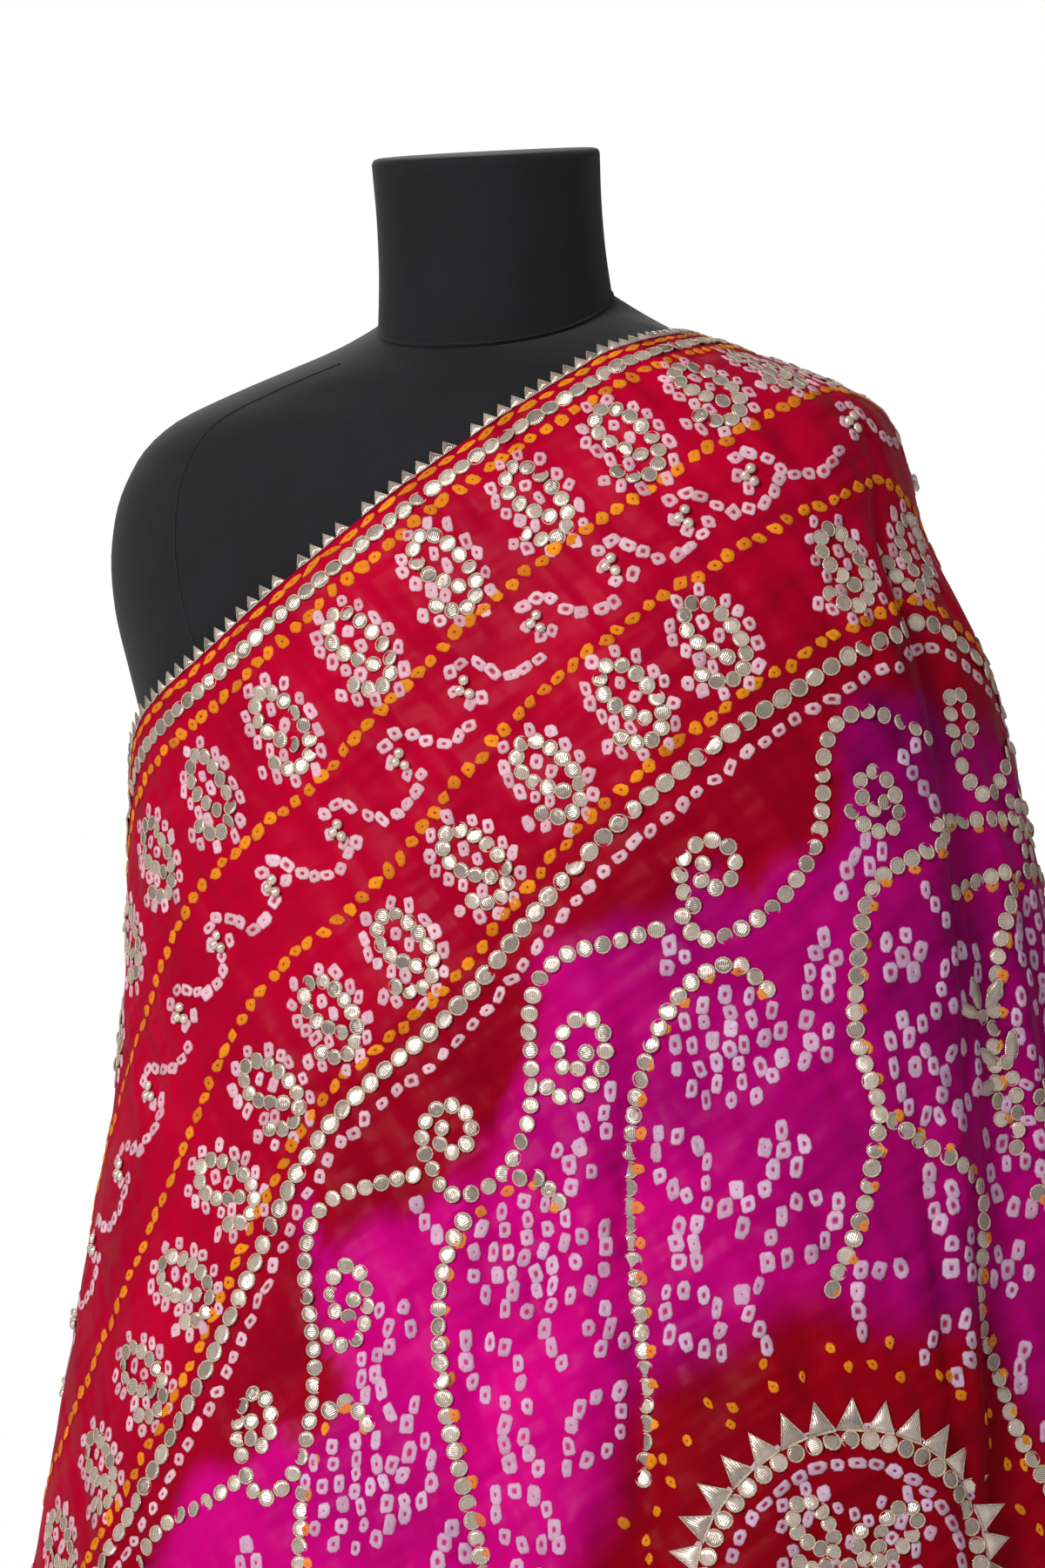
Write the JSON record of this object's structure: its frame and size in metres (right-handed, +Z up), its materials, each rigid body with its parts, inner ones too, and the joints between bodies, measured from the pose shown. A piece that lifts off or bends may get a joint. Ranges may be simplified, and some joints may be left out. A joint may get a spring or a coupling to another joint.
{
  "type": "bandhani cloth draped on a dress form",
  "caption": "Tie-dyed silk bandhani cloth with ribbon trims, draped over one shoulder of a plain headless dress form on a flat base.",
  "frame": {"origin": "on the surface, at the centre of the dress form's flat base", "axes": "+Z up the form, -Y the front of the drape, +X towards the covered shoulder"},
  "size_m": [0.5918, 0.4423, 0.8772],
  "materials": {
    "dyed_silk": "soft silk satin, crimson bleeding to magenta, with white, lavender and orange resist dots",
    "gota_ribbon": "metallic champagne ribbon weave with a soft glitter",
    "form_cover": "matte black jersey over a hard form"
  },
  "bodies": {
    "root": {"draped_cloth": "dyed_silk", "picot_edging": "gota_ribbon", "upper_disc_braid": "gota_ribbon", "lower_disc_braid": "gota_ribbon", "medallion_disc_ring": "gota_ribbon", "form_torso": "form_cover", "form_neck": "form_cover"}
  },
  "joints": []
}
